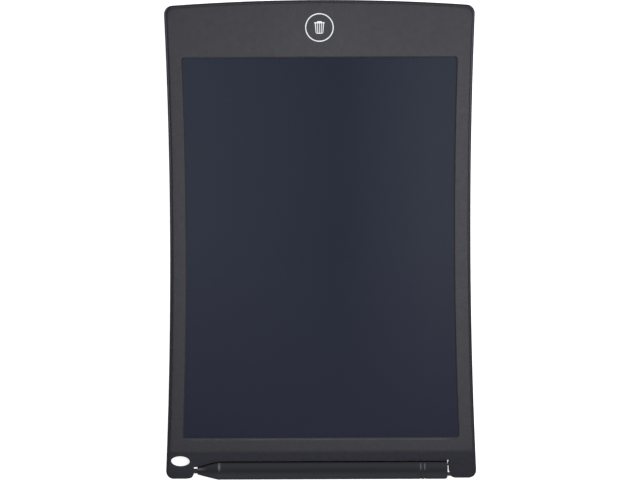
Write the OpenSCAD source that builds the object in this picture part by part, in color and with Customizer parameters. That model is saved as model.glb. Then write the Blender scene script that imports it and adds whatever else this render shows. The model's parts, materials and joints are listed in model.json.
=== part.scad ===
// Pocket writing tablet: a waisted plastic casing round a liquid crystal writing film, with an
// erase button in the forehead, a pen clipped into the bottom edge, and a coin cell, a lock
// slider and two magnets at the back. Millimetres. It lies on its back: +Z out of the writing
// film, +Y towards the erase button. The origin is on the back plane, below the middle.

/* [Casing] */
// Height of the casing, from the pen edge to the crown of the top edge
body_h = 225; // [215:1:235]
// Width of the casing at its two ends
body_w = 146.5; // [145:0.5:150]
// Width of the casing at its waist
waist_w = 141.3; // [140.5:0.1:142]
// Thickness of the casing
body_t = 6.4; // [6.4:0.1:7]
// Rise of the top edge between its corners
crown = 2.7; // [2:0.1:4]
// How far the front face falls away by the pen edge
slope_drop = 0.9; // [0.6:0.1:0.9]
// Radius of the upper corners
corner_r = 4; // [3.5:0.1:6]
// Thickness of the casing's side walls
wall = 1.5; // [1.4:0.1:1.6]

/* [Writing window] */
// Width of the window at its waist
window_w = 125.8; // [120:0.1:127]
// Height of the window
window_h = 178.7; // [170:0.5:180]
// Distance from the middle of the casing down to the window's centre
window_drop = 4; // [3:0.1:5]

/* [Erase button] */
// Diameter of the button cap
button_d = 13.9; // [13:0.1:15]
// How far the button travels
button_travel = 0.35; // [0.2:0.05:0.35]
// Distance from the middle of the casing up to the button's centre
button_rise = 99.4; // [99:0.1:100]

/* [Pen] */
// Diameter of the pen barrel
pen_d = 8.2; // [7.6:0.1:8.2]
// How far the pen stands out of the bottom edge
pen_proud = 0.5; // [0.2:0.1:0.6]
// Half the length of the slot that the pen lies in
slot_half = 60; // [58:0.5:60]
// Diameter of the nib
nib_d = 2.2; // [1.8:0.1:2.2]

/* [Lanyard hole] */
// Width of the oval hole
lanyard_w = 8.9; // [8:0.1:9.2]
// Height of the oval hole
lanyard_h = 5; // [4.9:0.1:5.4]

/* [Back] */
// Diameter of each magnet
magnet_d = 12; // [8:0.5:15]
// Travel of the lock slider
lock_travel = 2; // [1.5:0.1:2]

/* [Hidden] */
$fn = 48;
eps = 0.01;
cut = 20; // length of a through cut

// Levels above the back plane
floor_z = 1.2;
parting_z = 3.4;
roof_z = body_t - 1.2;
window_lip = 0.6;
film_top_z = body_t - window_lip;
tape_t = 0.1;
sheet_t = 0.2;
crystal_t = 0.1;
board_t = 1;
front_sheet_z = film_top_z - tape_t - sheet_t;
crystal_z = front_sheet_z - crystal_t;
back_sheet_z = crystal_z - sheet_t;
board_z = back_sheet_z - board_t;
pcb_t = 0.8;
pcb_top_z = 3.5;
pcb_z = pcb_top_z - pcb_t;
seam = 0.12; // chamfer that shows the parting line
tongue_h = 0.7;

// Outline of the casing: two side arcs that curve inwards, and a crowned top
centre_y = pen_proud / 2;
y_low = centre_y - body_h / 2;
y_high = centre_y + body_h / 2;
waist_y = centre_y - 3.5;
side_r = arc_radius(body_h / 2, (body_w - waist_w) / 2);
crown_r = arc_radius(body_w / 2, crown);
// Centre and radius of the side arc, then height of the top arc's centre and its radius
case_arcs = [waist_w / 2 + side_r, waist_y, side_r, y_high - crown_r, crown_r];
low_corner_r = 3.6;
low_inner_y = y_low + 9.9; // inside of the wall above the pen slot
front_edge_r = 1.8;
pen_edge_r = 1;
back_edge_r = 1.8;

// The front face is flat down to the crease, and falls away from there to the pen edge
crease_y = y_low + 12.5;
crease_half = 1.1;
slope = slope_drop / (crease_y - y_low);
crease_levels = [for (t = [-1:0.5:1]) crease_y + t * crease_half];

// Window: its sides follow the casing's waist, and its ends are straight
window_low = centre_y - window_drop - window_h / 2;
window_high = window_low + window_h;
window_bow = 1.7;
window_side_r = arc_radius(window_h / 2, window_bow);
straight_r = 200000;
window_arcs = [window_w / 2 + window_side_r, waist_y, window_side_r, window_high - straight_r, straight_r];
window_corner_r = 1.4;
window_bevel = 0.45;

// Writing film and the board behind it
film_w = 136;
film_low = window_low - 3.3;
film_high = window_high + 3.6;
film_clear = 0.3;
tail_x = -22;
tail_w = 8;

// Erase button
button_y = centre_y + button_rise;
cap_z = roof_z - 0.05;
cap_top_z = body_t - 0.05;
flange_r = button_d / 2 + 1.35;
flange_z = roof_z - 0.5;
button_gap = 0.12;
key_w = 2;
marking_depth = 0.25;
ring_r = button_d / 2 - 0.23;
ring_w = 0.5;
switch_size = 4.4;
switch_h = 0.8;
plunger_top_z = pcb_top_z + switch_h + button_travel + 0.05;
plunger_r = 1;

// Circuit board
pcb_left = -34;
pcb_right = 26;
pcb_low = 86;
pcb_high = 108;
screw_places = [[-30.5, 104.5], [22, 104.5], [-30.5, 93.6]];
board_screw_r = 0.6;

// Coin cell, its well and its door
cell_x = 44;
cell_y = 90;
cell_r = 10;
cell_h = 2.5;
cell_z = 1.25;
cell_cap_r = 8.8;
well_r = cell_r + 0.2;
well_wall = 1;
door_low = 77;
door_high = 107.4;
door_w = 27;
door_r = 2.5;
door_t = 0.9;
door_gap = 0.15;
door_z = 0.05;
ledge_z = 1.0;
plateau_z = 1.8;
tab_spread = 8;
tab_w = 5;
tab_reach = 1.5;
tab_t = 0.8;
door_screw_y = 104.3;
door_screw_r = 0.8;
door_head_r = 1.7;
insert_r = 1.6;
insert_z = 1.9;
insert_h = 1.6;

// Lock slider
lock_x = -18;
lock_y = 98;
lock_plate_z = 0.5;
lock_floor_z = 1;
knob_w = 7;
knob_d = 3.2;
knob_flange_w = 11;
knob_flange_d = 5.2;
knob_flange_z = 1.05;
knob_flange_t = 0.45;
slide_clear = 0.2;
lock_body_h = 1.1;

// Magnets
magnet_x = 46;
magnet_y = 40;
magnet_t = 1.5;
magnet_z = 0.05;

// Pen: it lies along X in the slot in the bottom edge
pen_r = pen_d / 2;
pen_y = y_low + pen_r - pen_proud;
pen_z = pen_r + 0.1;
slot_gap = 0.85; // between the pen's side and the front lip
slot_clear = 0.4; // round the pen in the cradle
lip_y = pen_y + pen_r + slot_gap;
cradle_y = pen_y + 2.6;
pen_tip = -slot_half - 2.6;
cone_start = -slot_half + 1.8;
cone_end = -slot_half + 11.5;
cone_tip_r = 1.6;
cone_swell = 0.3;
nib_gap_y = pen_y + 1.95; // top of the gap round the nib
cap_start = slot_half - 13.9;
groove_places = [cap_start + 0.65, cap_start + 2.55];
groove_w = 0.8;
groove_depth = 0.2;
bead_w = 1.2;
bead_rise = 0.07;
pen_end = slot_half - 0.6;
slot_end = slot_half - 0.05;
slot_flare = [0.1, 0.5]; // halfway down the end wall, and where its corner begins
slot_step = 0.5; // how far the bezel's end wall stands back from the cover's
bump_l = 2.6;
bump_w = 1.75;
bump_gap = 0.06; // between a bump and the pen's end
bump_places = [pen_y + 3.1, pen_y - 1.85];
lobe_r = 2.5;
pen_wall = 0.9;
socket_depth = 3.2;
socket_clear = 0.08;

lanyard_x = -66.25;
lanyard_y = y_low + 8.2;
lanyard_wall = 1.2;

rib_w = 0.8;
rib_top = board_z - 0.1;
rib_rows = [-80, -50, -20, 10, 68];
rib_columns = [-23, 23];
snap_l = 6;
snap_out = 0.3;
snap_rows = [-85, -30, 30, 85];

// ---------------------------------------------------------------- outlines and lofts

function arc_radius(half_chord, rise) = (half_chord * half_chord + rise * rise) / (2 * rise);

// Points of an arc with their outward normals: [x, y, nx, ny]
function arc_points(cx, cy, r, from, to, n) =
    [for (i = [0:n]) let (a = from + (to - from) * i / n) [cx + r * cos(a), cy + r * sin(a), cos(a), sin(a)]];

// Points of a side arc at the given heights. The arc's centre lies outside the shape.
function side_points(cx, cy, r, heights) =
    [for (y = heights) let (x = cx - sqrt(r * r - (y - cy) * (y - cy))) [x, y, (cx - x) / r, (cy - y) / r]];

function between(from, to, n) = [for (i = [1:n - 1]) from + (to - from) * i / n];

// Right half of an outline, from the bottom edge up to the top, as [x, y, nx, ny].
// arcs is a list like case_arcs. The outline is inset from those arcs.
function half_outline(arcs, inset, low, r_low, r_high, levels = []) =
    let (
        cx = arcs[0], cy = arcs[1], rs = arcs[2] + inset,
        ty = arcs[3], rt = arcs[4] - inset,
        fy = low + r_low,
        fx = cx - sqrt(pow(rs + r_low, 2) - pow(fy - cy, 2)),
        low_angle = atan2(cy - fy, cx - fx),
        dist = norm([cx, cy - ty]),
        ux = cx / dist, uy = (cy - ty) / dist,
        along = (pow(rt - r_high, 2) - pow(rs + r_high, 2) + dist * dist) / (2 * dist),
        across = sqrt(pow(rt - r_high, 2) - along * along),
        gx = along * ux - across * uy,
        gy = ty + along * uy + across * ux,
        side_angle = atan2(cy - gy, cx - gx),
        top_angle = atan2(gy - ty, gx),
        side_low = fy + r_low * sin(low_angle),
        side_high = gy + r_high * sin(side_angle),
        first = len(levels) > 0 ? min(levels) : side_low,
        last = len(levels) > 0 ? max(levels) : side_low
    )
    concat(
        arc_points(fx, fy, r_low, -90, low_angle, 7),
        side_points(cx, cy, rs, concat(
            len(levels) > 0 ? between(side_low, first, 3) : [], levels, between(last, side_high, 18))),
        arc_points(gx, gy, r_high, side_angle, top_angle, 7),
        [for (i = [1:10]) let (a = top_angle + (90 - top_angle) * i / 10.4)
            [rt * cos(a), ty + rt * sin(a), cos(a), sin(a)]]
    );

function mirrored(half) = [for (i = [len(half) - 1:-1:0]) [-half[i][0], half[i][1]]];
function flat_outline(half) = concat([for (p = half) [p[0], p[1]]], mirrored(half));

// A solid through rings of points [x, y, z], each ring given by its right half and mirrored.
// Each ring's height depends only on y, so its cap is a stack of flat strips.
module loft(rings) {
    half_n = len(rings[0]);
    n = 2 * half_n;
    points = [for (r = rings) for (p = concat(r,
        [for (i = [half_n - 1:-1:0]) [-r[i][0], r[i][1], r[i][2]]])) p];
    top = (len(rings) - 1) * n;
    sides = [for (k = [0:len(rings) - 2]) for (i = [0:n - 1])
        let (a = k * n + i, b = k * n + (i + 1) % n)
        each [[a + n, b + n, b], [a + n, b, a]]];
    low_cap = [for (i = [0:half_n - 2]) let (l = n - 1 - i)
        each [[i, l - 1, l], [i, i + 1, l - 1]]];
    high_cap = [for (i = [0:half_n - 2]) let (r = top + i, l = top + n - 1 - i)
        each [[r, l, l - 1], [r, l - 1, r + 1]]];
    polyhedron(points = points, faces = concat(low_cap, sides, high_cap), convexity = 8);
}

function front_z(y) =
    y > crease_y + crease_half ? body_t
    : y > crease_y - crease_half ? body_t - slope * pow(crease_y + crease_half - y, 2) / (4 * crease_half)
    : body_t - slope * (crease_y - y);

// The front edge is rounder along the sides and top than at the pen edge
function edge_r(y) =
    let (t = max(0, min(1, (y - y_low - 2) / 12))) pen_edge_r + (front_edge_r - pen_edge_r) * t;

function front_ring(half, turn) =
    [for (p = half)
        let (r = edge_r(p[1]), d = r * (1 - cos(turn)), y = p[1] - p[3] * d)
        [p[0] - p[2] * d, y, front_z(y) - r * (1 - sin(turn))]];

function level_ring(half, inset, z) = [for (p = half) [p[0] - p[2] * inset, p[1] - p[3] * inset, z]];

function case_half() = half_outline(case_arcs, 0, y_low, low_corner_r, corner_r, crease_levels);
function inner_half(inset) = half_outline(case_arcs, inset,
    low_inner_y - (inset < wall ? wall - inset : 0), 3, corner_r - inset);

// Straight-sided solid of an inset outline of the casing, between two levels
module inner_block(inset, from, to) {
    translate([0, 0, from])
        linear_extrude(to - from)
            polygon(flat_outline(inner_half(inset)));
}

module rounded_rect(w, h, r) {
    square([w - 2 * r, h], center = true);
    square([w, h - 2 * r], center = true);
    for (x = [-1, 1], y = [-1, 1])
        translate([x * (w / 2 - r), y * (h / 2 - r)])
            circle(r);
}

module slab(x0, x1, y0, y1, z0, z1) {
    translate([x0, y0, z0])
        cube([x1 - x0, y1 - y0, z1 - z0]);
}

module rounded_slab(cx, cy, w, h, r, z0, z1) {
    translate([cx, cy, z0])
        linear_extrude(z1 - z0)
            rounded_rect(w, h, r);
}

module disc(x, y, r, z0, z1) {
    translate([x, y, z0])
        cylinder(r = r, h = z1 - z0);
}

// Turns a profile of [radius, x] points about the pen's axis
module turned(profile) {
    translate([0, pen_y, pen_z])
        rotate([0, 90, 0])
            rotate_extrude()
                polygon(profile);
}

// ---------------------------------------------------------------- cuts shared by both shells

// Oval column round the lanyard hole's axis, wider than the hole by grow on every side
module lanyard_oval(grow, z0, z1) {
    w = lanyard_w / 2 + grow;
    h = lanyard_h / 2 + grow;
    translate([lanyard_x, lanyard_y, z0])
        linear_extrude(z1 - z0)
            polygon([for (a = [0:7.5:352.5]) [w * cos(a), h * sin(a)]]);
}

// Side of the pen's nose cone, as [radius, x] points, moved out by grow
function cone_profile(grow) =
    [for (t = [0:0.125:1])
        [cone_tip_r + (pen_r - cone_tip_r) * t + cone_swell * t * (1 - t) + grow,
            cone_start + (cone_end - cone_start) * t]];

// Rounded side of the right lobe, whose wall starts at x
function right_lobe(x) =
    let (cx = x + slot_flare[1] + lobe_r)
    concat(
        [[x + slot_flare[0], y_low + lobe_r + 1.2]],
        [for (a = [180:15:270]) [cx + lobe_r * cos(a), y_low + lobe_r + lobe_r * sin(a)]],
        [[cx, y_low - 2]]);

// The slot that the pen lies in. It is open towards the bottom edge. Its front lip follows the
// pen, the cradle under the pen is part of the back cover, and the gaps past the pen's two ends
// go right through. The bezel's end wall stands back from the cover's.
module pen_slot() {
    below = y_low - 2;
    end = slot_end - 0.6;
    back = slot_end + slot_step;
    turned(concat([[0, cone_start]], cone_profile(slot_clear), [[pen_r + slot_clear, end], [0, end]]));
    translate([0, 0, pen_z])
        linear_extrude(cut)
            polygon(concat(
                [[cone_start, below]],
                [for (p = cone_profile(slot_gap)) [p[1], pen_y + p[0]]],
                [[end, lip_y], [end, below]]));
    left = [for (a = [-90:15:0]) [-slot_half - lobe_r + lobe_r * cos(a), y_low + lobe_r + lobe_r * sin(a)]];
    translate([0, 0, -1])
        linear_extrude(cut)
            polygon(concat(
                [[-slot_half - lobe_r, below]], left,
                [[-slot_half, nib_gap_y], [cone_start, nib_gap_y]],
                [for (p = cone_profile(-0.3)) [p[1], min(pen_y + p[0], cradle_y)]],
                [[end, cradle_y], [end, lip_y], [slot_end, lip_y]],
                right_lobe(slot_end)));
    translate([0, 0, parting_z])
        linear_extrude(cut)
            polygon(concat([[end, below], [end, lip_y - 0.6], [back, lip_y - 0.6]], right_lobe(back)));
}

// Blind slot in the left lobe that the nib drops into from the bottom edge
module nib_socket() {
    half = nib_d / 2 + socket_clear;
    slab(-slot_half - socket_depth, -slot_half + 1, y_low - 2, pen_y + half + 0.2, pen_z - half,
        pen_z + half);
}

module case_cuts() {
    lanyard_oval(0, -1, cut);
    pen_slot();
    nib_socket();
}

// ---------------------------------------------------------------- casing

module button_ribs() {
    for (s = [-1, 1])
        slab(s * (key_w / 2 + 0.6) - 0.4, s * (key_w / 2 + 0.6) + 0.4, button_y - flange_r - 1.4,
            button_y - flange_r - 0.2,
            flange_z, roof_z + eps);
}

module snaps(grow) {
    for (y = snap_rows, s = [-1, 1]) {
        x = case_arcs[0] - sqrt(pow(side_r, 2) - pow(y - waist_y, 2)) - wall / 2;
        slab(s * x - snap_out - grow, s * x + snap_out + grow, y - snap_l / 2 - grow, y + snap_l / 2 + grow,
            parting_z + 0.2 - grow, parting_z + 0.5 + grow);
    }
}

module front_bezel() {
    color("#47484c") {
        bezel_shell();
        // bumps that the pen's end clicks past
        for (y = bump_places)
            rounded_slab(pen_end + bump_gap + bump_l / 2, y, bump_l, bump_w, 0.3, parting_z, parting_z + 0.7);
    }
}

module bezel_shell() {
    half = case_half();
    difference() {
        union() {
            difference() {
                loft(concat(
                    [level_ring(half, seam, parting_z), level_ring(half, 0, parting_z + seam)],
                    [for (turn = [0:15:90]) front_ring(half, turn)]));
                inner_block(wall, parting_z - 1, roof_z);
                inner_block(wall / 2, parting_z - 1, parting_z + tongue_h + 0.1);
                rounded_slab(0, (film_low + film_high) / 2, film_w + 2 * film_clear,
                    film_high - film_low + 2 * film_clear, 2, roof_z - 1, film_top_z);
                snaps(0.05);
            }
            for (p = screw_places)
                disc(p[0], p[1], 1.8, pcb_top_z, roof_z + eps);
            button_ribs();
            lanyard_oval(lanyard_wall, parting_z, roof_z + eps);
        }
        case_cuts();
        for (p = screw_places)
            disc(p[0], p[1], board_screw_r + 0.05, pcb_top_z - 1, roof_z + 0.4);
        disc(0, button_y, button_d / 2 + button_gap, roof_z - 1, cut);
        window_cut();
    }
}

module window_cut() {
    half = half_outline(window_arcs, 0, window_low, window_corner_r, window_corner_r);
    loft([level_ring(half, 0, film_top_z - 1), level_ring(half, 0, film_top_z + window_lip / 2),
        level_ring(half, -window_bevel, body_t), level_ring(half, -window_bevel, body_t + 1)]);
}

module back_cover() {
    half = case_half();
    color("#38393c")
        difference() {
            union() {
                difference() {
                    loft(concat(
                        [for (turn = [0:15:90]) level_ring(half, back_edge_r * (1 - sin(turn)),
                            back_edge_r * (1 - cos(turn)))],
                        [level_ring(half, 0, parting_z - seam), level_ring(half, seam, parting_z)]));
                    inner_block(wall, floor_z, cut);
                }
                lanyard_oval(lanyard_wall, floor_z - eps, parting_z);
                cover_tongue();
                cover_ribs();
                cell_well();
                for (s = [-1, 1])
                    disc(s * magnet_x, magnet_y, magnet_d / 2 + 1.2, floor_z - eps, magnet_t + 1.1);
            }
            case_cuts();
            door_opening();
            lock_opening();
            for (s = [-1, 1])
                disc(s * magnet_x, magnet_y, magnet_d / 2 + 0.05, -1, magnet_z + magnet_t);
        }
}

// Rim that the bezel's wall closes over, with the snaps that hold the two shells together
module cover_tongue() {
    difference() {
        union() {
            inner_block(wall / 2 + 0.05, parting_z - 0.5, parting_z + tongue_h);
            snaps(0);
        }
        inner_block(wall, parting_z - 1, cut);
        lanyard_oval(lanyard_wall + 0.1, parting_z, cut);
    }
}

module cover_ribs() {
    reach = waist_w / 2 - wall + 0.3;
    for (y = rib_rows)
        slab(-reach, reach, y - rib_w / 2, y + rib_w / 2, floor_z - eps, rib_top);
    for (x = rib_columns)
        slab(x - rib_w / 2, x + rib_w / 2, low_inner_y - 0.3, rib_rows[len(rib_rows) - 1], floor_z - eps,
            rib_top);
}

module cell_well() {
    difference() {
        union() {
            disc(cell_x, cell_y, well_r + well_wall, floor_z - eps, cell_z + cell_h);
            // thicker floor round the door
            slab(cell_x - door_w / 2 - 1.6, cell_x + door_w / 2 + 1.6, door_low, door_high + 1.2,
                floor_z - eps, plateau_z);
            disc(cell_x, door_screw_y, insert_r + 1.6, floor_z - eps, insert_z + insert_h + 0.8);
        }
        disc(cell_x, cell_y, well_r, -1, cut);
        // gap in the well's wall for the two contacts
        slab(cell_x - 20, cell_x - 6, cell_y - 5, cell_y + 7.5, plateau_z, cut);
    }
}

module door_opening() {
    middle = (door_low + door_high) / 2;
    rounded_slab(cell_x, middle, door_w + 2 * door_gap, door_high - door_low, door_r + door_gap, -1, ledge_z);
    disc(cell_x, cell_y, well_r, -1, plateau_z + 1);
    for (s = [-1, 1])
        slab(cell_x + s * tab_spread - tab_w / 2 - 0.3, cell_x + s * tab_spread + tab_w / 2 + 0.3,
            door_low, door_low + 2.6,
            -1, plateau_z + 1);
    disc(cell_x, door_screw_y, 3, -1, plateau_z);
    disc(cell_x, door_screw_y, insert_r, -1, insert_z + insert_h);
}

module lock_opening() {
    w = knob_flange_w + lock_travel + 2 * slide_clear;
    x = lock_x + lock_travel / 2;
    rounded_slab(x, lock_y, knob_w + lock_travel + 3, knob_d + 2.4, 2, -1, lock_plate_z);
    rounded_slab(x, lock_y, knob_w + lock_travel + 2 * slide_clear, knob_d + 2 * slide_clear, 0.9, -1,
        floor_z + 1);
    rounded_slab(x, lock_y, w, knob_flange_d + 2 * slide_clear, 0.8, lock_floor_z, floor_z + 1);
}

// ---------------------------------------------------------------- writing film

module film_layer(margin, z0, z1) {
    rounded_slab(0, (film_low + film_high) / 2, film_w - 2 * margin, film_high - film_low - 2 * margin,
        1.5, z0, z1);
}

module film_tape_frame() {
    half = half_outline(window_arcs, -0.6, window_low - 0.6, window_corner_r, window_corner_r);
    color("#1d1d20")
        difference() {
            film_layer(0.3, film_top_z - tape_t, film_top_z);
            translate([0, 0, film_top_z - 1])
                linear_extrude(2)
                    polygon(flat_outline(half));
        }
}

module film_front_sheet() {
    color("#2f3340")
        film_layer(0, front_sheet_z, film_top_z - tape_t);
}

module liquid_crystal_layer() {
    color("#23303c")
        film_layer(0.4, crystal_z, front_sheet_z);
}

module film_back_sheet() {
    color("#141417")
        film_layer(0, back_sheet_z, crystal_z);
}

module backing_board() {
    color("#6b6e70")
        difference() {
            film_layer(0.2, board_z, back_sheet_z);
            slab(tail_x - tail_w / 2 - 0.5, tail_x + tail_w / 2 + 0.5, film_high - 3.6, film_high + 1,
                board_z - 1, roof_z + 1);
        }
}

// Flexible tail bonded under the film's top edge, stepping down to its connector
module film_flex_tail() {
    t = 0.12;
    high = back_sheet_z - t;
    low = pcb_top_z + 0.3;
    path = [[film_high - 3.2, high], [film_high + 1.2, high], [film_high + 2.6, low], [film_high + 4.6, low]];
    back = [for (i = [len(path) - 1:-1:0]) [path[i][0] + (i > 0 && i < 3 ? 0.06 : 0), path[i][1] + t]];
    color("#b87333")
        translate([tail_x - tail_w / 2, 0, 0])
            rotate([90, 0, 90])
                linear_extrude(tail_w)
                    polygon(concat(path, back));
}

module flex_connector() {
    y = film_high + 3.4;
    color("#e8e2d0")
        difference() {
            slab(tail_x - tail_w / 2 - 1, tail_x + tail_w / 2 + 1, y, y + 3, pcb_top_z, pcb_top_z + 1);
            slab(tail_x - tail_w / 2 - 0.1, tail_x + tail_w / 2 + 0.1, y - 1, y + 1.6, pcb_top_z + 0.25,
                pcb_top_z + 0.5);
        }
}

// ---------------------------------------------------------------- circuit

module circuit_board() {
    color("#1f5b3a")
        difference() {
            rounded_slab((pcb_left + pcb_right) / 2, (pcb_low + pcb_high) / 2, pcb_right - pcb_left,
                pcb_high - pcb_low, 1,
                pcb_z, pcb_top_z);
            for (p = screw_places)
                disc(p[0], p[1], board_screw_r + 0.2, 0, cut);
        }
}

module board_screws() {
    color("#b9bbbe")
        for (p = screw_places)
            difference() {
                union() {
                    disc(p[0], p[1], board_screw_r, pcb_z - eps, roof_z - 0.2);
                    disc(p[0], p[1], 1.3, pcb_z - 0.7, pcb_z);
                }
                cross_recess(p[0], p[1], pcb_z - 0.7, 0.35);
            }
}

// Cross-shaped driver recess in the underside of a screw head
module cross_recess(x, y, z, depth) {
    for (turn = [0, 90])
        translate([x, y, z])
            rotate([0, 0, turn])
                translate([0, 0, depth / 2 - 0.5])
                    cube([1.5, 0.36, depth + 1], center = true);
}

module chip(x, y, w, d, h) {
    slab(x - w / 2, x + w / 2, y - d / 2, y + d / 2, pcb_top_z, pcb_top_z + h);
}

module controller_chip() {
    color("#222225") {
        chip(-14, 101.5, 5, 3.9, 1);
        for (i = [-1.5:1:1.5], s = [-1, 1])
            chip(-14 + i * 1.27, 101.5 + s * 2.45, 0.42, 1, 0.2);
    }
}

module boost_inductor() {
    color("#3c3a3a")
        difference() {
            disc(14.5, 99.8, 2.6, pcb_top_z, pcb_top_z + 1.4);
            difference() {
                disc(14.5, 99.8, 3, pcb_top_z + 0.4, pcb_top_z + 1);
                disc(14.5, 99.8, 1.9, pcb_top_z, pcb_top_z + 2);
            }
        }
}

module chip_components() {
    color("#a98b6a") {
        for (i = [0:3])
            chip(-26 + i * 2.4, 106, 1, 1.8, 0.6);
        for (i = [0:2])
            chip(11 + i * 2.4, 94.2, 1, 1.8, 0.6);
        chip(20, 98.5, 1.6, 3.2, 1);
    }
}

// ---------------------------------------------------------------- erase button and its switch

module button_ring_shape(z0, z1) {
    difference() {
        disc(0, button_y, ring_r, z0, z1);
        disc(0, button_y, ring_r - ring_w, z0 - 1, z1 + 1);
    }
}

// Waste bin: a tapered can with upright ribs, a rim and a knob on the lid
module bin_shape(z0, z1) {
    line = 0.36;
    rib = 0.34;
    top_w = 2.15;
    low_w = 1.78;
    top_y = 2.05;
    low_y = -2.9;
    translate([0, button_y, z0])
        linear_extrude(z1 - z0) {
            difference() {
                polygon([[-top_w, top_y], [-low_w, low_y + 0.5], [-low_w + 0.5, low_y], [low_w - 0.5, low_y],
                    [low_w, low_y + 0.5], [top_w, top_y]]);
                polygon([[-top_w + line, top_y + 1], [-low_w + line, low_y + line],
                    [low_w - line, low_y + line],
                    [top_w - line, top_y + 1]]);
            }
            for (side = [-1:1])
                polygon([[side * 0.98 - rib / 2, top_y + line / 2], [side * 0.98 + rib / 2, top_y + line / 2],
                    [side * 0.8 + rib / 2, low_y + line / 2], [side * 0.8 - rib / 2, low_y + line / 2]]);
            translate([-2.45, top_y - 0.1])
                square([4.9, line + 0.15]);
            translate([-1.1, top_y + line / 2])
                square([2.2, 0.72]);
        }
}

module marking_shape(z0, z1) {
    button_ring_shape(z0, z1);
    bin_shape(z0, z1);
}

module erase_button() {
    color("#3f4044")
        difference() {
            union() {
                disc(0, button_y, button_d / 2, cap_z, cap_top_z);
                difference() {
                    disc(0, button_y, flange_r, flange_z, roof_z - 0.03);
                    disc(0, button_y, button_d / 2 - 1.1, flange_z - 1, cap_z);
                }
                slab(-key_w / 2, key_w / 2, button_y - flange_r - 1, button_y - flange_r + 1, flange_z,
                    roof_z - 0.03);
                disc(0, button_y, 1.4, plunger_top_z, cap_z + eps);
            }
            marking_shape(cap_top_z - marking_depth, cap_top_z + 1);
        }
}

module erase_button_marking() {
    color("#e9e9ec")
        marking_shape(cap_top_z - marking_depth, cap_top_z + 0.02);
}

module erase_switch_body() {
    color("#8a8d90")
        difference() {
            slab(-switch_size / 2, switch_size / 2, button_y - switch_size / 2,
                button_y + switch_size / 2, pcb_top_z,
                pcb_top_z + switch_h);
            disc(0, button_y, plunger_r + 0.1, pcb_top_z + 0.08, cut);
        }
}

module erase_switch_plunger() {
    color("#202022")
        disc(0, button_y, plunger_r, pcb_top_z + 0.5, plunger_top_z);
}

// ---------------------------------------------------------------- lock slider

module lock_knob() {
    color("#2b2b2e")
        difference() {
            union() {
                rounded_slab(lock_x, lock_y, knob_w, knob_d, 0.8, 0.35, knob_flange_z + eps);
                for (i = [-2:2])
                    slab(lock_x + i * 1.2 - 0.3, lock_x + i * 1.2 + 0.3, lock_y - knob_d / 2 + 0.3,
                        lock_y + knob_d / 2 - 0.3,
                        0.08, 0.35 + eps);
                rounded_slab(lock_x, lock_y, knob_flange_w, knob_flange_d, 0.6, knob_flange_z,
                    knob_flange_z + knob_flange_t);
            }
            slab(lock_x - 0.7, lock_x + 0.7, lock_y - 0.6, lock_y + 0.6, 0.85, cut);
        }
}

module lock_switch_body() {
    x = lock_x + lock_travel / 2;
    color("#c9cbcd")
        difference() {
            slab(x - 3.6, x + 3.6, lock_y - 1.5, lock_y + 1.5, pcb_z - lock_body_h, pcb_z);
            slab(x - lock_travel / 2 - 0.8, x + lock_travel / 2 + 0.8, lock_y - 0.6, lock_y + 0.6, 0,
                pcb_z - 0.3);
        }
}

module lock_switch_actuator() {
    color("#202022")
        slab(lock_x - 0.6, lock_x + 0.6, lock_y - 0.5, lock_y + 0.5, 0.95, pcb_z - 0.45);
}

// ---------------------------------------------------------------- coin cell and contacts

module coin_cell_can() {
    color("#c8cacc")
        difference() {
            disc(cell_x, cell_y, cell_r, cell_z, cell_z + cell_h - 0.15);
            disc(cell_x, cell_y, cell_r - 0.4, cell_z + 0.4, cut);
        }
}

module coin_cell_gasket() {
    color("#3a3a3c")
        difference() {
            disc(cell_x, cell_y, cell_r - 0.4, cell_z + 0.4, cell_z + cell_h - 0.15);
            disc(cell_x, cell_y, cell_cap_r, 0, cut);
        }
}

module coin_cell_cap() {
    color("#b5b7b9")
        disc(cell_x, cell_y, cell_cap_r, cell_z + 0.4, cell_z + cell_h);
}

// A strip bent along a path of [x, z] points, and w wide along Y
module bent_strip(path, y, w, t) {
    translate([0, y + w / 2, 0])
        rotate([90, 0, 0])
            linear_extrude(w)
                polygon(concat(path, [for (i = [len(path) - 1:-1:0]) [path[i][0], path[i][1] + t]]));
}

module negative_contact() {
    top = cell_z + cell_h;
    color("#d0c9a8")
        bent_strip([[20, pcb_top_z], [26.5, pcb_top_z], [29, top + 0.1], [39, top + 0.1], [41, top],
            [42, top], [44, top + 0.25]],
            95, 3, 0.2);
}

module positive_contact() {
    t = 0.2;
    reach = cell_x - cell_r - 0.02;
    color("#d0c9a8")
        translate([0, cell_y - 2.5 + 3, 0])
            rotate([90, 0, 0])
                linear_extrude(3)
                    polygon([[20, pcb_top_z], [reach - 0.5, pcb_top_z], [reach - t, 2.6],
                        [reach - 0.45, 2], [reach - 0.25, 2],
                        [reach, 2.6], [reach - 0.3, pcb_top_z + t], [20, pcb_top_z + t]]);
}

// ---------------------------------------------------------------- battery door

module battery_door() {
    middle = (door_low + door_high) / 2;
    color("#38393c")
        difference() {
            union() {
                rounded_slab(cell_x, middle + 0.05, door_w, door_high - door_low - 2 * door_gap, door_r,
                    door_z, door_z + door_t);
                for (s = [-1, 1])
                    door_tab(cell_x + s * tab_spread);
                disc(cell_x, door_screw_y, 2.8, door_z + door_t - eps, plateau_z - 0.1);
            }
            disc(cell_x, door_screw_y, door_head_r + 0.1, -1, 1.05);
            disc(cell_x, door_screw_y, door_screw_r + 0.1, -1, cut);
            // finger groove across the door
            for (i = [0:4])
                slab(cell_x - 5, cell_x + 5, cell_y - 4.6 + i * 1.8, cell_y - 4 + i * 1.8, -1, door_z + 0.25);
        }
}

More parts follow.
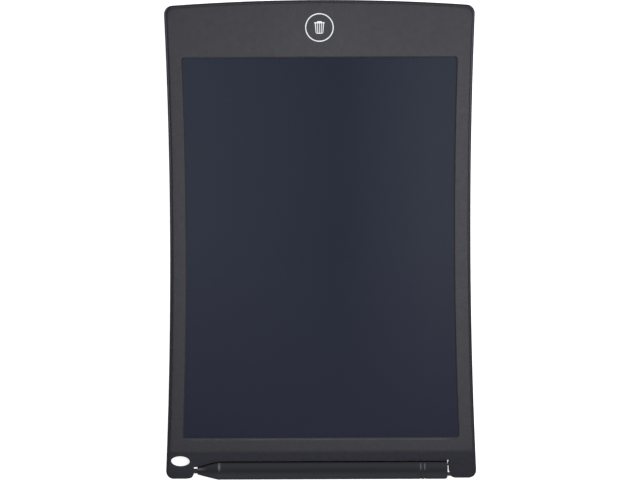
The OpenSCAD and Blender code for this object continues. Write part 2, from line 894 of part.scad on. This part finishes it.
module door_tab(x) {
    slab(x - tab_w / 2, x + tab_w / 2, door_low + 0.2, door_low + 1.4, door_z + door_t - eps,
        floor_z + 0.05 + tab_t);
    slab(x - tab_w / 2, x + tab_w / 2, door_low - tab_reach, door_low + 0.3, floor_z + 0.05,
        floor_z + 0.05 + tab_t);
}

module battery_door_pad() {
    color("#19191b")
        disc(cell_x, cell_y, 7, door_z + door_t, cell_z);
}

module battery_door_screw() {
    color("#b9bbbe")
        difference() {
            union() {
                disc(cell_x, door_screw_y, door_head_r, 0.12, 1.05);
                disc(cell_x, door_screw_y, door_screw_r, 1, insert_z + 1.3);
            }
            cross_recess(cell_x, door_screw_y, 0.12, 0.5);
        }
}

module battery_door_insert() {
    color("#c6a14e")
        difference() {
            disc(cell_x, door_screw_y, insert_r, insert_z, insert_z + insert_h);
            disc(cell_x, door_screw_y, door_screw_r + 0.15, 0, cut);
        }
}

module magnets() {
    color("#c4c6c9")
        for (s = [-1, 1])
            disc(s * magnet_x, magnet_y, magnet_d / 2, magnet_z, magnet_z + magnet_t);
}

// ---------------------------------------------------------------- pen

// Barrel, with a low bead where it meets the nose cone
module pen_barrel() {
    inner = pen_r - pen_wall;
    color("#2d2e31")
        turned(concat(
            [[inner, cone_end]],
            [for (t = [0:0.25:1]) [pen_r + bead_rise * sin(180 * t), cone_end + bead_w * t]],
            [[pen_r, cap_start], [inner, cap_start]]));
}

module pen_nose_cone() {
    inner = pen_r - pen_wall;
    nib_r = nib_d / 2;
    color("#2d2e31")
        turned(concat(
            [[nib_r, cone_start]], cone_profile(0),
            [[inner, cone_end], [inner, cone_end + 5], [inner - 0.8, cone_end + 5],
                [inner - 0.8, cone_end - 2],
                [nib_r, cone_end - 5]]));
}

module pen_nib() {
    nib_r = nib_d / 2;
    tip = [for (a = [0:15:90]) [nib_r * sin(a), pen_tip + nib_r * (1 - cos(a))]];
    color("#1c1c1e")
        turned(concat(tip, [[nib_r, cone_end - 5.2], [0, cone_end - 5.2]]));
}

// End cap with two fine grooves where it meets the barrel
module pen_end_cap() {
    inner = pen_r - pen_wall;
    grooves = [for (x = groove_places, t = [-1:0.5:1])
        [pen_r - groove_depth * (1 - t * t), x + t * groove_w / 2]];
    color("#2d2e31")
        turned(concat(
            [[0, cap_start + 3.6], [inner - 0.8, cap_start + 3.6], [inner - 0.8, cap_start - 4],
                [inner, cap_start - 4],
                [inner, cap_start], [pen_r, cap_start]],
            grooves,
            [[pen_r, pen_end - 1], [pen_r - 0.3, pen_end - 0.3], [pen_r - 1, pen_end],
                [1.6, pen_end], [1.6, pen_end - 1.2], [0, pen_end - 1.2]]));
}

module pen_end_plug() {
    color("#232326")
        turned([[0, pen_end - 1.2], [1.6, pen_end - 1.2], [1.6, pen_end - 0.2], [1.4, pen_end - 0.05],
            [0, pen_end - 0.05]]);
}

// ---------------------------------------------------------------- nodes

front_bezel();
back_cover();
film_tape_frame();
film_front_sheet();
liquid_crystal_layer();
film_back_sheet();
backing_board();
film_flex_tail();
flex_connector();
circuit_board();
controller_chip();
boost_inductor();
chip_components();
board_screws();
erase_button();
erase_button_marking();
erase_switch_body();
erase_switch_plunger();
lock_knob();
lock_switch_body();
lock_switch_actuator();
coin_cell_can();
coin_cell_gasket();
coin_cell_cap();
positive_contact();
negative_contact();
battery_door();
battery_door_pad();
battery_door_screw();
battery_door_insert();
magnets();
pen_barrel();
pen_nose_cone();
pen_nib();
pen_end_cap();
pen_end_plug();
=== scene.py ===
"""Looks for the writing tablet: materials, smooth casing shells, camera, floor and light round the frame.

Lengths are in metres and colours are linear. The bezel, the pen and the film carry painted light: paler
lines and slow colour changes that are fixed to the surface and stand in for gleams and shading. They are
not wear, and they stay as they are under any light.
"""

import json
import math

import bmesh
import bpy
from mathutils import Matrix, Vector


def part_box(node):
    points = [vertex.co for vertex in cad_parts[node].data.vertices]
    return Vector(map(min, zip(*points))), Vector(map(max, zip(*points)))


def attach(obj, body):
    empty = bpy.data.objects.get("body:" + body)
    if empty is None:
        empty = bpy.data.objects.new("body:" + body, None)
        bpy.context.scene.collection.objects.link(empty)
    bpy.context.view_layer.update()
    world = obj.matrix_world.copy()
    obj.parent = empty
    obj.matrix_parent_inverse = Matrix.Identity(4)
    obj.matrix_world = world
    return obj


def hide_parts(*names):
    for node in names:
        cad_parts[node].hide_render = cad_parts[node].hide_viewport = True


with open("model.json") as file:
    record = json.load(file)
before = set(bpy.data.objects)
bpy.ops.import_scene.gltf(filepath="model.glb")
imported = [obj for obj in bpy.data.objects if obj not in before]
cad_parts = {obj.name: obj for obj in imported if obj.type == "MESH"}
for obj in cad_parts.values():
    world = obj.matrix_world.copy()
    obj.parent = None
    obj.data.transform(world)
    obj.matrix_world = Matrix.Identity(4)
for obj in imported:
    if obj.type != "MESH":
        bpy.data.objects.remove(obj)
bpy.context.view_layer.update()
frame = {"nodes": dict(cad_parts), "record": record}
nodes = frame["nodes"]
slot_of = {part["node"]: part["material_slot"] for part in frame["record"]["subparts"]}

BEZEL = (0.0131, 0.0135, 0.0188)
COVER = (0.0155, 0.0155, 0.0190)
PEN = (0.0180, 0.0184, 0.0215)
FILM_MIDDLE = (0.0030, 0.0072, 0.0215)
FILM_SIDES = (0.0134, 0.0182, 0.0330)

# Painted highlight on the bezel along the window's near edge. A gain is a factor on the piece's own colour.
LIP_LINE_Y = -0.09385
LIP_LINE_HALF_WIDTH = 0.00018
LIP_LINE_HALF_LENGTH = 0.0605
LIP_LINE_FADE = (0.0003, 0.002)  # past its width and past its length
LIP_LINE_GAIN = 3.0

# Painted highlight on the round edge down both sides of the bezel
SIDE_LINE_UP = (0.80, 0.03, 0.07)  # how far up the edge faces where the line runs: middle, flat and soft
SIDE_LINE_OUT = (0.25, 0.45)  # how far it faces sideways, from none to full
SIDE_LINE_X = (0.065, 0.067)  # from none to full, out from the middle
SIDE_LINE_Y = (-0.03, 0.06)  # from none to full, away from the pen
SIDE_LINE_GAIN = 6.5

# Painted light on the pen: its flanks, its near side, and marks on the upper side of the tip, the bead and
# the two grooves. Across and up are in pen radii from the axis.
FLANK_ACROSS = (0.15, 0.7)  # either way, from none to full
FLANK_GAIN = 1.75
NEAR_SIDE_ACROSS = (-0.7, 0.0)  # from full to none
NEAR_SIDE_GAIN = 2.05
UPPER_SIDE_UP = (0.0, 0.3)  # from none to full
STEP_MARK_ACROSS = (0.54, 0.15, 0.42)  # middle, flat and soft
TIP_MARK_ACROSS = (0.24, 0.03, 0.16)
MARK_GAIN = 6.0
TIP_MARK_LENGTH = 0.0045
BEAD_MARK = (0.0006, 0.0004)  # middle, in from the barrel's nose end, and half width
GROOVE_MARKS = ((0.00065, 0.0002), (0.00255, 0.0002))  # middles, past the barrel's cap end, and half widths
MARK_FADE = 0.00025

# Painted reflection over the film: deep blue down the middle, greyer at the sides
FILM_MIDDLE_X = (0.005, 0.013)  # the deep blue strip
FILM_INSET = 0.006  # from the film's sides to where its colour stops changing
FILM_RIGHT_RISE = 1.25  # over 1, so the right side reaches its full colour sooner
FILM_NEAR_TINT = (1.0, 0.82, 0.88)  # on the mean of both colours, at the film's near end


# ---------------------------------------------------------------- materials

def scaled(color, factor):
    return tuple(c * factor for c in color)


class Nodes:
    """Short names for building one material's node tree."""

    def __init__(self, name):
        self.material = bpy.data.materials.new(name)
        self.material.use_nodes = True
        self.tree = self.material.node_tree
        self.tree.nodes.clear()
        self.out = self.add("ShaderNodeOutputMaterial")
        self.shader = self.add("ShaderNodeBsdfPrincipled")
        self.link(self.shader.outputs["BSDF"], self.out.inputs["Surface"])
        self.place = self.add("ShaderNodeTexCoord").outputs["Object"]

    def add(self, kind, **settings):
        node = self.tree.nodes.new(kind)
        for key, value in settings.items():
            setattr(node, key, value)
        return node

    def link(self, a, b):
        self.tree.links.new(a, b)

    def split(self, vector):
        """The three parts of a vector."""
        node = self.add("ShaderNodeSeparateXYZ")
        self.link(vector, node.inputs["Vector"])
        return node.outputs["X"], node.outputs["Y"], node.outputs["Z"]

    def noise(self, scale, detail=2.0, roughness=0.5, stretch=None):
        node = self.add("ShaderNodeTexNoise")
        node.inputs["Scale"].default_value = scale
        node.inputs["Detail"].default_value = detail
        node.inputs["Roughness"].default_value = roughness
        place = self.place
        if stretch:
            mapping = self.add("ShaderNodeMapping")
            mapping.inputs["Scale"].default_value = stretch
            self.link(place, mapping.inputs["Vector"])
            place = mapping.outputs["Vector"]
        self.link(place, node.inputs["Vector"])
        return node.outputs["Fac"]

    def remap(self, value, low, high, start=0.3, end=0.7):
        """Low up to start, high from end, and straight between. The defaults suit a noise."""
        node = self.add("ShaderNodeMapRange")
        node.inputs["From Min"].default_value = start
        node.inputs["From Max"].default_value = end
        node.inputs["To Min"].default_value = low
        node.inputs["To Max"].default_value = high
        self.link(value, node.inputs["Value"])
        return node.outputs["Result"]

    def rise(self, value, start, end):
        return self.remap(value, 0.0, 1.0, start, end)

    def fall(self, value, start, end):
        return self.remap(value, 1.0, 0.0, start, end)

    def mix(self, factor, a, b):
        node = self.add("ShaderNodeMix", data_type="RGBA")
        for socket, value in ((node.inputs["Factor"], factor), (node.inputs["A"], a), (node.inputs["B"], b)):
            if isinstance(value, bpy.types.NodeSocket):
                self.link(value, socket)
            else:
                socket.default_value = (*value, 1.0)
        return node.outputs["Result"]

    def math(self, operation, a, b=None):
        node = self.add("ShaderNodeMath", operation=operation)
        for socket, value in zip(node.inputs, (a, b)):
            if isinstance(value, bpy.types.NodeSocket):
                self.link(value, socket)
            elif value is not None:
                socket.default_value = value
        return node.outputs["Value"]

    def both(self, a, b):
        return self.math("MULTIPLY", a, b)

    def either(self, a, b):
        return self.math("MAXIMUM", a, b)

    def hump(self, value, middle, flat, soft):
        """1 within flat of the middle, falling to 0 over the soft distance past it."""
        off = self.math("ABSOLUTE", self.math("SUBTRACT", value, middle))
        return self.fall(off, flat, flat + soft)

    def bump(self, height, distance, strength):
        node = self.add("ShaderNodeBump")
        node.inputs["Strength"].default_value = strength
        node.inputs["Distance"].default_value = distance
        self.link(height, node.inputs["Height"])
        return node.outputs["Normal"]

    def finish(self, color, roughness, normal=None, **constants):
        self.link(color, self.shader.inputs["Base Color"])
        self.link(roughness, self.shader.inputs["Roughness"])
        if normal is not None:
            self.link(normal, self.shader.inputs["Normal"])
        for key, value in constants.items():
            self.shader.inputs[key.replace("_", " ")].default_value = value
        return self.material


def bezel_painted_highlights(n, base, color, normal):
    """Painted highlights: a patchy one along the window's near edge, and one down each side's round edge."""
    x, y, _ = n.split(n.place)
    # Painted highlight along the window's near edge, made patchy by a noise
    across = n.hump(y, LIP_LINE_Y, LIP_LINE_HALF_WIDTH, LIP_LINE_FADE[0])
    along = n.hump(x, 0.0, LIP_LINE_HALF_LENGTH, LIP_LINE_FADE[1])
    patchy = n.both(n.both(across, along), n.remap(n.noise(70.0, 2.0), 0.1, 1.0))
    base = n.mix(patchy, base, scaled(color, LIP_LINE_GAIN))

    # Painted highlight on the round edge down each side, fading out towards the pen
    facing_x, _, facing_z = n.split(normal)
    outward = n.rise(n.math("ABSOLUTE", facing_x), *SIDE_LINE_OUT)
    side = n.both(outward, n.rise(n.math("ABSOLUTE", x), *SIDE_LINE_X))
    round_edge = n.both(side, n.hump(facing_z, *SIDE_LINE_UP))
    return n.mix(n.both(round_edge, n.rise(y, *SIDE_LINE_Y)), base, scaled(color, SIDE_LINE_GAIN))


def moulded_plastic(name, color, roughness=0.5, grain=2600.0, depth=0.00002, specular=0.5, lines=False):
    """Fine grained moulding: small pits, slow colour drift, and convex edges a little lighter."""
    n = Nodes(name)
    drift = n.remap(n.noise(14.0, 3.0), 0.0, 1.0)
    base = n.mix(drift, scaled(color, 0.97), scaled(color, 1.03))
    pits = n.noise(grain, 2.0, 0.6)
    base = n.mix(n.remap(pits, 0.0, 0.35, 0.42, 0.75), base, scaled(color, 1.25))
    geometry = n.add("ShaderNodeNewGeometry")
    convex = n.remap(geometry.outputs["Pointiness"], 0.0, 0.6, 0.52, 0.60)
    base = n.mix(convex, base, scaled(color, 1.5))
    # Painted highlights, on the bezel only
    if lines:
        base = bezel_painted_highlights(n, base, color, geometry.outputs["Normal"])
    rough = n.remap(n.noise(420.0, 4.0), roughness - 0.02, roughness + 0.02)
    return n.finish(base, rough, n.bump(pits, depth, 0.6), Specular_IOR_Level=specular)


def pen_plastic(name, color, roughness):
    """Fine matt plastic, with painted light on its flanks, its near side, its steps and its tip."""
    n = Nodes(name)
    base = n.mix(n.remap(n.noise(25.0, 3.0), 0.0, 1.0), scaled(color, 0.94), scaled(color, 1.06))
    grain = n.noise(4200.0, 2.0)
    base = n.mix(n.remap(grain, 0.0, 0.2), base, scaled(color, 1.3))

    x, y, z = n.split(n.place)
    low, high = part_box("pen_barrel")
    radius = (high.y - low.y) / 2
    axis = (low + high) / 2
    across = n.math("DIVIDE", n.math("SUBTRACT", y, axis.y), radius)
    up = n.math("DIVIDE", n.math("SUBTRACT", z, axis.z), radius)
    # Painted light: paler flanks and a paler near side
    base = n.mix(n.rise(n.math("ABSOLUTE", across), *FLANK_ACROSS), base, scaled(color, FLANK_GAIN))
    base = n.mix(n.fall(across, *NEAR_SIDE_ACROSS), base, scaled(color, NEAR_SIDE_GAIN))

    # Painted highlights on the upper side of the bead, the two grooves and the tip
    steps = n.hump(x, low.x + BEAD_MARK[0], BEAD_MARK[1], MARK_FADE)
    for middle, half in GROOVE_MARKS:
        steps = n.either(steps, n.hump(x, high.x + middle, half, MARK_FADE))
    step_marks = n.both(steps, n.hump(across, *STEP_MARK_ACROSS))
    tip_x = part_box("pen_nose_cone")[0].x
    tip_mark = n.both(n.fall(x, tip_x, tip_x + TIP_MARK_LENGTH), n.hump(across, *TIP_MARK_ACROSS))
    marks = n.both(n.either(step_marks, tip_mark), n.rise(up, *UPPER_SIDE_UP))
    base = n.mix(marks, base, scaled(color, MARK_GAIN))

    rough = n.remap(n.noise(90.0, 3.0), roughness - 0.03, roughness + 0.03)
    return n.finish(base, rough, n.bump(grain, 0.00001, 0.5), Specular_IOR_Level=0.05)


def smooth_plastic(name, color, roughness=0.3, specular=0.5):
    """Polished or extruded plastic with faint flow marks."""
    n = Nodes(name)
    base = n.mix(n.remap(n.noise(30.0, 3.0), 0.0, 1.0), scaled(color, 0.93), scaled(color, 1.07))
    rough = n.remap(n.noise(180.0, 3.0, 0.5, (1.0, 0.2, 1.0)), roughness - 0.05, roughness + 0.06)
    return n.finish(base, rough, n.bump(n.noise(500.0, 2.0), 0.000008, 0.4), Specular_IOR_Level=specular)


def writing_film(name, middle, sides, roughness):
    """Laminated film: satin, with fine tooth. Painted reflection: deep blue down its middle and greyer at
    its sides.
    """
    n = Nodes(name)
    low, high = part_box("film_front_sheet")
    x, y, _ = n.split(n.place)
    left = n.fall(x, low.x + FILM_INSET, FILM_MIDDLE_X[0])
    right = n.remap(x, 0.0, FILM_RIGHT_RISE, FILM_MIDDLE_X[1], high.x - FILM_INSET)
    base = n.mix(n.math("ADD", left, right), middle, sides)
    near_color = tuple(0.5 * (m + s) * tint for m, s, tint in zip(middle, sides, FILM_NEAR_TINT))
    # Painted light: another tint towards the film's near end
    base = n.mix(n.rise(y, 0.0, low.y), base, near_color)
    tooth = n.noise(5200.0, 1.0)
    base = n.mix(n.remap(tooth, 0.0, 0.06), base, scaled(sides, 1.3))
    rough = n.remap(n.noise(500.0, 3.0), roughness - 0.01, roughness + 0.02)
    return n.finish(base, rough, n.bump(tooth, 0.000004, 0.4), Specular_IOR_Level=0.08)


def metal(name, color, roughness=0.3, brushed=(1.0, 12.0, 1.0)):
    """Plated or rolled metal with fine directional streaks."""
    n = Nodes(name)
    streaks = n.noise(900.0, 3.0, 0.5, brushed)
    base = n.mix(n.remap(streaks, 0.0, 1.0), scaled(color, 0.86), scaled(color, 1.06))
    rough = n.remap(n.noise(240.0, 3.0), roughness - 0.06, roughness + 0.1)
    return n.finish(base, rough, n.bump(streaks, 0.000006, 0.5), Metallic=1.0)


def print_white(name, color):
    """Pad-printed ink, very slightly uneven."""
    n = Nodes(name)
    base = n.mix(n.remap(n.noise(800.0, 3.0), 0.0, 1.0), scaled(color, 0.95), color)
    rough = n.remap(n.noise(300.0, 2.0), 0.42, 0.52)
    return n.finish(base, rough, n.bump(n.noise(3000.0, 2.0), 0.000006, 0.4))


def foam(name, color):
    """Open-cell foam."""
    n = Nodes(name)
    cells = n.add("ShaderNodeTexVoronoi")
    cells.inputs["Scale"].default_value = 2200.0
    n.link(n.place, cells.inputs["Vector"])
    pores = cells.outputs["Distance"]
    base = n.mix(n.remap(pores, 0.0, 1.0, 0.1, 0.6), scaled(color, 0.4), scaled(color, 1.5))
    rough = n.remap(n.noise(400.0, 2.0), 0.88, 0.98)
    return n.finish(base, rough, n.bump(pores, 0.0001, 0.8))


def laminate(name, color):
    """Circuit board: solder mask with copper tracks just visible."""
    n = Nodes(name)
    tracks = n.add("ShaderNodeTexBrick")
    tracks.inputs["Scale"].default_value = 260.0
    tracks.inputs["Mortar Size"].default_value = 0.06
    tracks.inputs["Color1"].default_value = (*color, 1.0)
    tracks.inputs["Color2"].default_value = (*scaled(color, 0.85), 1.0)
    tracks.inputs["Mortar"].default_value = (*scaled(color, 1.7), 1.0)
    n.link(n.place, tracks.inputs["Vector"])
    base = n.mix(n.remap(n.noise(900.0, 2.0), 0.0, 0.5), tracks.outputs["Color"], scaled(color, 1.2))
    rough = n.remap(n.noise(200.0, 2.0), 0.28, 0.4)
    return n.finish(base, rough, n.bump(tracks.outputs["Fac"], 0.00003, 0.5))


materials = {
    "bezel_plastic": moulded_plastic("bezel_plastic", BEZEL, 0.28, specular=0.19, lines=True),
    "cover_plastic": moulded_plastic("cover_plastic", COVER, 0.5, depth=0.00003, specular=0.3),
    "button_plastic": moulded_plastic("button_plastic", BEZEL, 0.28, depth=0.000015, specular=0.19),
    "knob_plastic": moulded_plastic("knob_plastic", scaled(COVER, 0.7), 0.48),
    "pen_plastic": pen_plastic("pen_plastic", PEN, 0.62),
    "nib_plastic": smooth_plastic("nib_plastic", (0.018, 0.018, 0.020), 0.5, specular=0.2),
    "film_face": writing_film("film_face", FILM_MIDDLE, FILM_SIDES, 0.3),
    "liquid_crystal": smooth_plastic("liquid_crystal", (0.012, 0.022, 0.035), 0.2),
    "film_backing": smooth_plastic("film_backing", (0.006, 0.006, 0.008), 0.3),
    "tape": smooth_plastic("tape", (0.008, 0.008, 0.009), 0.6),
    "filler_board": moulded_plastic("filler_board", (0.16, 0.165, 0.17), 0.8, 900.0),
    "flex_circuit": smooth_plastic("flex_circuit", (0.36, 0.15, 0.03), 0.3),
    "connector_plastic": smooth_plastic("connector_plastic", (0.72, 0.67, 0.55), 0.45),
    "board_laminate": laminate("board_laminate", (0.012, 0.075, 0.035)),
    "chip_plastic": moulded_plastic("chip_plastic", (0.014, 0.014, 0.016), 0.6, 5000.0),
    "ferrite": moulded_plastic("ferrite", (0.035, 0.033, 0.033), 0.65, 3500.0),
    "ceramic_parts": moulded_plastic("ceramic_parts", (0.34, 0.22, 0.12), 0.5, 5000.0),
    "screw_steel": metal("screw_steel", (0.52, 0.53, 0.55), 0.32),
    "switch_shell": metal("switch_shell", (0.50, 0.51, 0.52), 0.35),
    "switch_plunger": smooth_plastic("switch_plunger", (0.012, 0.012, 0.014), 0.35),
    "cell_steel": metal("cell_steel", (0.60, 0.61, 0.62), 0.25, (1.0, 1.0, 1.0)),
    "cell_gasket": smooth_plastic("cell_gasket", (0.03, 0.03, 0.032), 0.5),
    "contact_metal": metal("contact_metal", (0.66, 0.60, 0.42), 0.28),
    "foam": foam("foam", (0.012, 0.012, 0.013)),
    "insert_brass": metal("insert_brass", (0.58, 0.38, 0.12), 0.3),
    "magnet_nickel": metal("magnet_nickel", (0.58, 0.585, 0.60), 0.16, (1.0, 1.0, 1.0)),
    "marking_ink": print_white("marking_ink", (0.86, 0.86, 0.88)),
}


def paint(obj, slot):
    obj.data.materials.clear()
    obj.data.materials.append(materials[slot])


for node_name, node in nodes.items():
    paint(node, slot_of[node_name])


# ---------------------------------------------------------------- smooth pieces over faceted shells

SHARP_EDGE = math.radians(24.0)


def smoothed(node_name, body):
    """Stands a copy in for a faceted CAD node, so that its shallow facets shade as one surface."""
    mesh = nodes[node_name].data.copy()
    if mesh.has_custom_normals:
        mesh.attributes.remove(mesh.attributes["custom_normal"])
    bm = bmesh.new()
    bm.from_mesh(mesh)
    bmesh.ops.remove_doubles(bm, verts=bm.verts, dist=1e-7)
    bmesh.ops.dissolve_degenerate(bm, edges=bm.edges, dist=1e-7)
    for face in bm.faces:
        face.smooth = True
    for edge in bm.edges:
        edge.smooth = len(edge.link_faces) == 2 and edge.calc_face_angle(0.0) < SHARP_EDGE
    bm.to_mesh(mesh)
    bm.free()
    piece = bpy.data.objects.new("shaped_" + node_name, mesh)
    bpy.context.scene.collection.objects.link(piece)
    weighted = piece.modifiers.new("weighted", "WEIGHTED_NORMAL")
    weighted.mode = "FACE_AREA"
    weighted.keep_sharp = True
    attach(piece, body)
    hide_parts(node_name)
    paint(piece, slot_of[node_name])


smoothed("front_bezel", "casing")
smoothed("back_cover", "casing")


# ---------------------------------------------------------------- camera

SENSOR_MM = 36.0
VIEW_WIDTH = 0.300608  # what the picture's width takes in, at the casing's face
CAMERA_PLACE = (-0.00013, -0.00018, 1.6)
CAMERA_ROLL = math.radians(-0.225)  # the tablet lies very slightly turned in the picture
CAMERA_REACH = 100.0

face_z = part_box("front_bezel")[1].z
camera_data = bpy.data.cameras.new("camera")
camera_data.sensor_width = SENSOR_MM
camera_data.lens = SENSOR_MM * (CAMERA_PLACE[2] - face_z) / VIEW_WIDTH
camera_data.clip_end = CAMERA_REACH
camera = bpy.data.objects.new("camera", camera_data)
camera.location = CAMERA_PLACE
camera.rotation_euler = (0.0, 0.0, CAMERA_ROLL)
bpy.context.scene.collection.objects.link(camera)
bpy.context.scene.camera = camera


# ---------------------------------------------------------------- floor and surroundings

FLOOR_GLOW = 0.75  # only the camera sees it
FLOOR_RETURN = 0.22  # how much of the light the floor gives back to the tablet
FLOOR_SIDE = 6.0
FLOOR_GAP = 0.00005  # under the tablet
AMBIENT = 0.40
BACKDROP = 0.92  # the surroundings' brightness, as the camera sees them
WHITE = (1.0, 1.0, 1.0, 1.0)


def floor_material():
    """Pale floor that glows a little for the camera and gives the tablet only a little light back."""
    n = Nodes("floor")
    base = n.mix(n.remap(n.noise(3.0, 2.0), 0.0, 1.0), (0.80, 0.80, 0.80), (0.83, 0.83, 0.83))
    rough = n.remap(n.noise(40.0, 2.0), 0.85, 0.95)
    looks = {"Specular_IOR_Level": 0.1, "Emission_Color": WHITE, "Emission_Strength": FLOOR_GLOW}
    material = n.finish(base, rough, **looks)
    dim = n.add("ShaderNodeBsdfDiffuse")
    dim.inputs["Color"].default_value = (FLOOR_RETURN, FLOOR_RETURN, FLOOR_RETURN, 1.0)
    path = n.add("ShaderNodeLightPath")
    mix = n.add("ShaderNodeMixShader")
    n.link(path.outputs["Is Camera Ray"], mix.inputs["Fac"])
    n.link(dim.outputs["BSDF"], mix.inputs[1])
    n.link(n.shader.outputs["BSDF"], mix.inputs[2])
    n.link(mix.outputs["Shader"], n.out.inputs["Surface"])
    return material


def studio_world():
    """Even, dim surroundings, which look pale where the camera sees past the floor."""
    world = bpy.data.worlds.new("world")
    world.use_nodes = True
    tree = world.node_tree
    tree.nodes.clear()
    out = tree.nodes.new("ShaderNodeOutputWorld")
    mix = tree.nodes.new("ShaderNodeMixShader")
    path = tree.nodes.new("ShaderNodeLightPath")
    for strength, socket in ((AMBIENT, mix.inputs[1]), (BACKDROP, mix.inputs[2])):
        glow = tree.nodes.new("ShaderNodeBackground")
        glow.inputs["Color"].default_value = WHITE
        glow.inputs["Strength"].default_value = strength
        tree.links.new(glow.outputs["Background"], socket)
    tree.links.new(path.outputs["Is Camera Ray"], mix.inputs["Fac"])
    tree.links.new(mix.outputs["Shader"], out.inputs["Surface"])
    return world


floor_mesh = bpy.data.meshes.new("floor")
corners = [(x * FLOOR_SIDE, y * FLOOR_SIDE, 0) for x, y in ((-1, -1), (1, -1), (1, 1), (-1, 1))]
floor_mesh.from_pydata(corners, [], [(0, 1, 2, 3)])
floor_mesh.materials.append(floor_material())
floor = bpy.data.objects.new("floor", floor_mesh)
floor.location.z = -FLOOR_GAP
bpy.context.scene.collection.objects.link(floor)
bpy.context.scene.world = studio_world()


# ---------------------------------------------------------------- light

# The key hangs flat above the camera. Mirrored in the tablet, its left edge ends just past the casing
# and its near edge a little short of it. So the satin face is brightest at the upper right and darkest
# by the pen.
KEY_LIGHT = 5.85
KEY_COLOR = (0.99, 0.99, 1.03)
KEY_Z = 1.75
KEY_LEFT = -0.24
KEY_NEAR = -0.17
KEY_W = 1.1
KEY_D = 0.50

# Each fill's name, place, width, height and brightness. They all face the tablet.
FILLS = (
    ("far_fill", (0.4, 2.3, 1.9), 2.4, 1.5, 3.4),
    ("right_fill", (2.4, 0, 1.3), 0.7, 2.4, 1.6),
    ("left_fill", (-2.4, 0, 1.3), 0.7, 2.4, 0.8),
    ("near_fill", (0, -2.2, 0.9), 2.0, 0.7, 2.8),
)


def softbox(name, place, aim, width, height, radiance):
    """Area light that shines with the given brightness, wherever it stands and however large it is."""
    data = bpy.data.lights.new(name, "AREA")
    data.shape = "RECTANGLE"
    data.size, data.size_y = width, height
    data.energy = radiance * math.pi * width * height
    light = bpy.data.objects.new(name, data)
    light.location = place
    light.rotation_euler = (Vector(place) - Vector(aim)).to_track_quat("Z", "Y").to_euler()
    light.visible_camera = False
    bpy.context.scene.collection.objects.link(light)
    return light


key_x = KEY_LEFT + KEY_W / 2
key_y = KEY_NEAR + KEY_D / 2
key = softbox("key", (key_x, key_y, KEY_Z), (key_x, key_y, 0), KEY_W, KEY_D, KEY_LIGHT)
key.data.color = KEY_COLOR
for name, place, width, height, radiance in FILLS:
    softbox(name, place, (0, 0, 0), width, height, radiance)

bpy.context.scene.view_settings.view_transform = "Standard"
bpy.context.scene.view_settings.look = "None"
